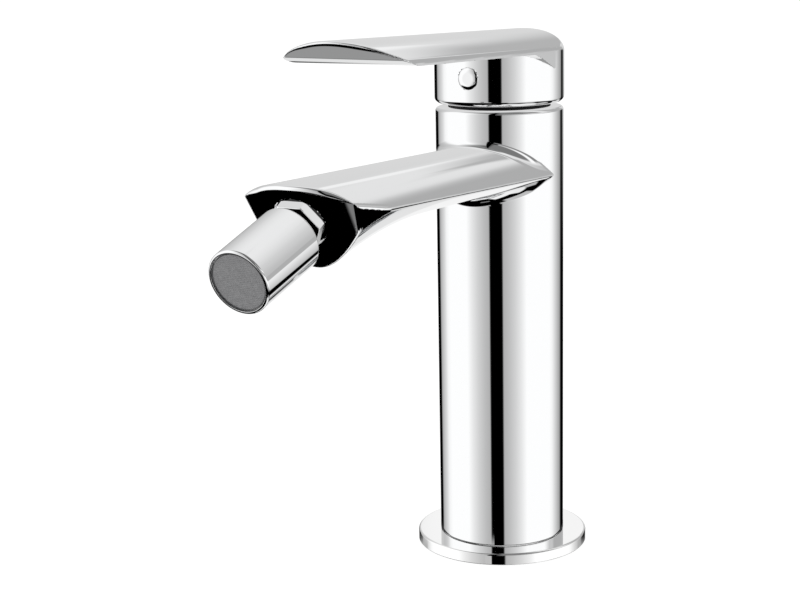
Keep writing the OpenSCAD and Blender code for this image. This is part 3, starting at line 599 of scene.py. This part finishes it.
# lever: a round cap over the cartridge and a blade with a crowned top
leverSpec = dict(
    capRadius=22.25, capLow=157.3, capEdge=1.2, ridge=181.7, crownRadius=46.01, pitch=1.43, halfWidth=22.2,
    length=108.0, underY=-19.4, underZ=174.7, cheekRadius=22.0, cheekSlope=23.0, reliefY=3.9, reliefAngle=20.0,
    tipLean=60.0, tipZ=184.396,
    hollowRadius=20.0, hollowTop=173.0, hubRadius=7.5, hubLow=163.3, lugHalf=4.9, lugY=13.3, hubAngle=24.0,
    socketHalf=3.03, socketTop=178.7, plugZ=166.7, plugHole=3.74, plugFloor=-20.65, grubHole=2.43,
    sideRound=0.7, rearRound=3.2, tipRound=2.0, tipLowRound=2.4, joinRound=0.0, cell=0.46,
)


def leverField(x, y, z):
    s = leverSpec
    across, ring = np.abs(x), np.hypot(x, y)
    sinPitch, cosPitch = math.sin(math.radians(s["pitch"])), math.cos(math.radians(s["pitch"]))
    crown = np.hypot(x, y * sinPitch + (z - s["ridge"] + s["crownRadius"]) * cosPitch) - s["crownRadius"] * cosPitch
    flat = -((y - s["underY"]) * sinPitch + (z - s["underZ"]) * cosPitch)
    cheek = s["cheekRadius"] - np.hypot(y - s["underY"], z - s["underZ"] + s["cheekRadius"])
    slope = math.radians(s["cheekSlope"])
    ramp = s["cheekRadius"] - (y - s["underY"]) * math.sin(slope) - (z - s["underZ"] + s["cheekRadius"]) * math.cos(slope)
    bendEnd = s["underY"] + s["cheekRadius"] * math.sin(slope)
    under = np.where(y < s["underY"], flat, np.where(y < bendEnd, cheek, ramp))
    side = across - s["halfWidth"]
    lean = math.radians(s["tipLean"])
    tip = -(y + s["length"]) * math.cos(lean) - (z - s["tipZ"]) * math.sin(lean)
    blade = np.maximum(np.maximum(side, roundBoth(under, tip, s["tipLowRound"])), y)
    relief = math.radians(s["reliefAngle"])
    cap = roundBoth(ring - s["capRadius"], s["capLow"] - z, 0.3)
    cap = roundBoth(cap, (ring - s["capRadius"] + s["capLow"] + s["capEdge"] - z) * 0.7071, 0.4)
    cap = roundBoth(cap, (math.tan(relief) * (y - s["reliefY"]) + s["capLow"] - z) * math.cos(relief), 0.3)
    solid = roundEither(cap, blade, s["joinRound"])
    rounding = (s["sideRound"] + (s["rearRound"] - s["sideRound"]) * smoothStep(y, 0, 20)
                + (s["tipRound"] - s["sideRound"]) * smoothStep(-y, s["length"] - 14, s["length"] - 2)
                * (1 - smoothStep(across, 8, 21)))
    solid = roundBoth(solid, crown, rounding)
    hubFloor = s["hubLow"] + math.tan(math.radians(s["hubAngle"])) * np.maximum(y + 1, 0) - z
    lug = np.maximum(np.maximum(across - s["lugHalf"], y), -s["lugY"] - y)
    hub = np.maximum(np.minimum(ring - s["hubRadius"], lug), hubFloor)
    hollow = np.maximum(np.maximum(ring - s["hollowRadius"], z - s["hollowTop"]), -hub)
    socket = np.maximum(np.maximum(across, np.abs(y)) - s["socketHalf"], z - s["socketTop"])
    plugRing = np.hypot(x, z - s["plugZ"])
    plugHole = np.maximum(plugRing - s["plugHole"], y - s["plugFloor"])
    grubHole = np.maximum(plugRing - s["grubHole"], y)
    cuts = np.minimum(np.minimum(hollow, socket), grubHole)
    return np.maximum(np.maximum(solid, -cuts), -plugHole)


def addLever():
    s = leverSpec
    parts = skinField(leverField, (-23, -110, 156.4), (23, 23, 186), s["cell"])
    makePiece("leverHandle", *parts, "chrome", "lever", "chrome", "lever", False)


addLever()

# round pieces: (radius, height, rounding) round the outline, outside on the right
flangeSpec = dict(radius=30.0, thick=4.0, edge=0.7, spigot=17.47, bore=15.97, spigotTop=8.0,
                  seatOuter=27.03, seatInner=22.97, seatDeep=2.03)


def addFlange():
    s = flangeSpec
    points = [(s["bore"], 0, 0.3), (s["seatInner"], 0, 0.1), (s["seatInner"], s["seatDeep"], 0.1),
              (s["seatOuter"], s["seatDeep"], 0.1), (s["seatOuter"], 0, 0.1), (s["radius"], 0, 0.25),
              (s["radius"], s["thick"], s["edge"]), (s["spigot"], s["thick"], 0.1),
              (s["spigot"], s["spigotTop"], 0.3), (s["bore"], s["spigotTop"], 0.3)]
    # the base plate takes the lighter copy of chrome, so its brighter reflections are painted light
    makePiece("basePlate", *lathe(points, True, 256), "plateChrome", "body", "chrome", "base_flange", False)


addFlange()

sealSpec = dict(inner=23.0, outer=27.0, thick=2.0, rounding=0.5)


def addSeal():
    s = sealSpec
    points = [(s["inner"], 0, s["rounding"]), (s["outer"], 0, s["rounding"]),
              (s["outer"], s["thick"], s["rounding"]), (s["inner"], s["thick"], s["rounding"])]
    makePiece("deckSeal", *lathe(points, True, 128, 4), "rubber", "body", "rubber", "base_seal")


addSeal()

neckSpec = dict(inner=16.78, outer=17.63, low=155.8, high=157.3, rounding=0.3)


def addNeckRing():
    s = neckSpec
    points = [(s["inner"], s["low"], 0.1), (s["outer"], s["low"], 0.1),
              (s["outer"], s["high"], s["rounding"]), (s["inner"], s["high"], s["rounding"])]
    makePiece("neckRing", *lathe(points, True, 128, 4), "darkPlastic", "body", "dark_plastic", "neck_ring", False)


addNeckRing()

plugSpec = dict(radius=3.75, front=-22.4, back=-20.68, z=166.7, flat=1.9, bend=3.1)


def addPlug():
    s = plugSpec
    length = s["back"] - s["front"]
    points = [(0, 0, 0), (s["radius"], 0, 0.2)]
    # the front is flat in the middle and bends back towards the rim
    for radius in np.linspace(s["radius"], s["flat"], 9):
        points.append((radius, length - s["bend"] + math.sqrt(s["bend"] ** 2 - (radius - s["flat"]) ** 2), 0.6))
    points += [(0, length, 0)]
    spots, faces, normals = lathe(points, False, 72, 5)
    turned = np.stack([spots[:, 0], s["back"] - spots[:, 2], s["z"] + spots[:, 1]], 1)
    turnedNormals = np.stack([normals[:, 0], -normals[:, 2], normals[:, 1]], 1)
    makePiece("leverPlug", turned, faces, turnedNormals, "chrome", "lever", "chrome", "indicator_plug", False)


addPlug()

nippleSpec = dict(ball=7.5, stem=4.0, bore=3.0, hexFlat=7.101, hexLow=-11.3, hexHigh=-8.1,
                  collar=5.5, collarLow=-17.3, hexEdge=7.7, cell=0.25)


def nippleField(x, y, z):
    s = nippleSpec
    ring = np.hypot(x, y)
    ball = np.sqrt(x * x + y * y + z * z) - s["ball"]
    stem = np.maximum(ring - s["stem"], np.maximum(z, s["hexLow"] - z))
    slant = [np.abs(0.8660254 * x + 0.5 * turn * y) for turn in (1, -1)]
    flats = np.maximum(np.abs(y), np.maximum(*slant)) - s["hexFlat"]
    middle, half = (s["hexLow"] + s["hexHigh"]) / 2, (s["hexHigh"] - s["hexLow"]) / 2
    height = np.abs(z - middle) - half
    hexagon = roundBoth(roundBoth(flats, height, 0.2), (ring - s["hexEdge"]) * 0.5 + height * 0.866, 0.15)
    collar = np.maximum(ring - s["collar"], np.maximum(s["collarLow"] - z, z - s["hexLow"] - 0.2))
    solid = np.minimum(roundEither(ball, stem, 0.6), collar)
    solid = roundEither(solid, hexagon, 0.25)
    return np.maximum(solid, s["bore"] - ring)


def addNipple():
    s = nippleSpec
    parts = skinField(nippleField, (-9, -9, -18), (9, 9, 8.5), s["cell"])
    makePiece("ballNipple", *placed(parts, 30), "chrome", "body", "chrome", "ball_nipple", mirrored=False)


addNipple()

casingSpec = dict(back=-5.0, front=22.8, backRadius=10.2, frontRadius=10.0, backEdge=1.6, frontEdge=0.75,
                  bore=9.05, lip=7.32, lipFront=-3.93)


def addCasing():
    s = casingSpec
    points = [(s["lip"], s["back"], 0.2), (s["backRadius"] - s["backEdge"], s["back"], 0.6),
              (s["backRadius"], s["back"] + s["backEdge"], 0.9), (s["frontRadius"], s["front"], s["frontEdge"]),
              (s["bore"], s["front"], 0.12), (s["bore"], s["lipFront"], 0), (s["lip"], s["lipFront"], 0.1)]
    makePiece("nozzleCasing", *placed(lathe(points, True, 160), 18), "chrome", "nozzle", "chrome", "nozzle_casing", False)


addCasing()

# spray face: a disc with fine ribs across it, the ribs from a node tree
screenSpec = dict(back=21.3, front=22.3, radius=9.02, rim=0.4, gap=0.5, groove=0.12, ledge=0.2,
                  ribs=28, pitch=0.58, ribWidth=0.5, ribDeep=0.16)


def ribTree():
    tree = bpy.data.node_groups.new("screenRibs", "GeometryNodeTree")
    face = tree.interface
    face.new_socket("Geometry", in_out="INPUT", socket_type="NodeSocketGeometry")
    sockets = {name: face.new_socket(name, in_out="INPUT", socket_type=kind) for name, kind in (
        ("Ribs", "NodeSocketInt"), ("Pitch", "NodeSocketFloat"), ("Disc Radius", "NodeSocketFloat"),
        ("Rib Width", "NodeSocketFloat"), ("Rib Depth", "NodeSocketFloat"), ("Height", "NodeSocketFloat"))}
    face.new_socket("Geometry", in_out="OUTPUT", socket_type="NodeSocketGeometry")
    nodes, links = tree.nodes, tree.links
    given, result = nodes.new("NodeGroupInput"), nodes.new("NodeGroupOutput")

    def maths(operation, first, second=0.0):
        node = nodes.new("ShaderNodeMath")
        node.operation = operation
        for socket, value in zip(node.inputs, (first, second)):
            if isinstance(value, bpy.types.NodeSocket):
                links.new(value, socket)
            else:
                socket.default_value = value
        return node.outputs[0]

    line = nodes.new("GeometryNodeMeshLine")
    links.new(given.outputs["Ribs"], line.inputs["Count"])
    step, start = nodes.new("ShaderNodeCombineXYZ"), nodes.new("ShaderNodeCombineXYZ")
    links.new(given.outputs["Pitch"], step.inputs["Y"])
    links.new(step.outputs[0], line.inputs["Offset"])
    half = maths("MULTIPLY", maths("SUBTRACT", given.outputs["Ribs"], 1.0), -0.5)
    links.new(maths("MULTIPLY", half, given.outputs["Pitch"]), start.inputs["Y"])
    links.new(given.outputs["Height"], start.inputs["Z"])
    links.new(start.outputs[0], line.inputs["Start Location"])
    apart = nodes.new("ShaderNodeSeparateXYZ")
    links.new(nodes.new("GeometryNodeInputPosition").outputs[0], apart.inputs[0])
    aside = maths("POWER", maths("ABSOLUTE", apart.outputs["Y"]), 2.0)
    squares = maths("SUBTRACT", maths("POWER", given.outputs["Disc Radius"], 2.0), aside)
    chord = maths("MULTIPLY", maths("SQRT", maths("MAXIMUM", squares, 0.0)), 2.0)
    bar = nodes.new("GeometryNodeMeshCylinder")
    bar.inputs["Vertices"].default_value = 10
    bar.inputs["Radius"].default_value = 0.5
    bar.inputs["Depth"].default_value = 1.0
    size = nodes.new("ShaderNodeCombineXYZ")
    links.new(given.outputs["Rib Depth"], size.inputs["X"])
    links.new(given.outputs["Rib Width"], size.inputs["Y"])
    links.new(chord, size.inputs["Z"])
    spread = nodes.new("GeometryNodeInstanceOnPoints")
    links.new(line.outputs["Mesh"], spread.inputs["Points"])
    links.new(bar.outputs["Mesh"], spread.inputs["Instance"])
    spread.inputs["Rotation"].default_value = (0, math.pi / 2, 0)
    links.new(size.outputs[0], spread.inputs["Scale"])
    both, real = nodes.new("GeometryNodeJoinGeometry"), nodes.new("GeometryNodeRealizeInstances")
    dress = nodes.new("GeometryNodeSetMaterial")
    links.new(spread.outputs[0], both.inputs[0])
    links.new(given.outputs["Geometry"], both.inputs[0])
    links.new(both.outputs[0], real.inputs[0])
    links.new(real.outputs[0], dress.inputs["Geometry"])
    dress.inputs["Material"].default_value = material["screenGrey"]
    links.new(dress.outputs[0], result.inputs[0])
    return tree, {name: socket.identifier for name, socket in sockets.items()}


def addScreen():
    s = screenSpec
    rim = s["radius"] - s["gap"]
    inner, face = rim - s["rim"], s["front"] - s["groove"]
    ledge = s["back"] + s["ledge"]
    disc = lathe([(0, s["back"], 0), (s["radius"], s["back"], 0.1), (s["radius"], ledge, 0), (rim, ledge, 0),
                  (rim, s["front"], 0.15), (inner, s["front"], 0.1), (inner, face, 0.05), (0, face, 0)], False, 96, 4)
    mesh = bpy.data.meshes.new("sprayFace")
    mesh.from_pydata((disc[0] * mm).tolist(), [], disc[1])
    mesh.shade_smooth()
    mesh.normals_split_custom_set_from_vertices(disc[2].tolist())
    piece = bpy.data.objects.new("sprayFace", mesh)
    scene.collection.objects.link(piece)
    tree, keys = ribTree()
    ribs = piece.modifiers.new("ribs", "NODES")
    ribs.node_group = tree
    for name, value in (("Ribs", s["ribs"]), ("Pitch", s["pitch"] * mm), ("Disc Radius", (inner + 0.1) * mm),
                        ("Rib Width", s["ribWidth"] * mm), ("Rib Depth", s["ribDeep"] * mm), ("Height", face * mm)):
        ribs[keys[name]] = value
    graph = bpy.context.evaluated_depsgraph_get()
    whole = bpy.data.meshes.new_from_object(piece.evaluated_get(graph))
    piece.modifiers.remove(ribs)
    piece.data = whole
    turn, centre = fromBall(18)
    matrix = Matrix(turn.tolist()).to_4x4()
    matrix.translation = Vector(centre) * mm
    whole.transform(matrix)
    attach(piece, "nozzle")
    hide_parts("aerator_screen")
    print("sprayFace made:", len(whole.vertices), "points")


addScreen()

# the inner pieces keep their solids and get the finish of their slot
finishOfSlot = dict(chrome="chrome", brass="brass", steel="steel", rubber="rubber", white_plastic="whitePlastic",
                    dark_plastic="darkPlastic", ceramic="ceramic")


def dressNodes():
    slots = {part["node"]: part["material_slot"] for part in frame["record"]["subparts"]}
    for node, solid in frame["nodes"].items():
        finish = material[finishOfSlot[slots[node]]]
        if not solid.material_slots:
            solid.data.materials.append(finish)
        for slot in solid.material_slots:
            slot.material = finish
        solid.visible_glossy = False


dressNodes()
print("inner pieces dressed")
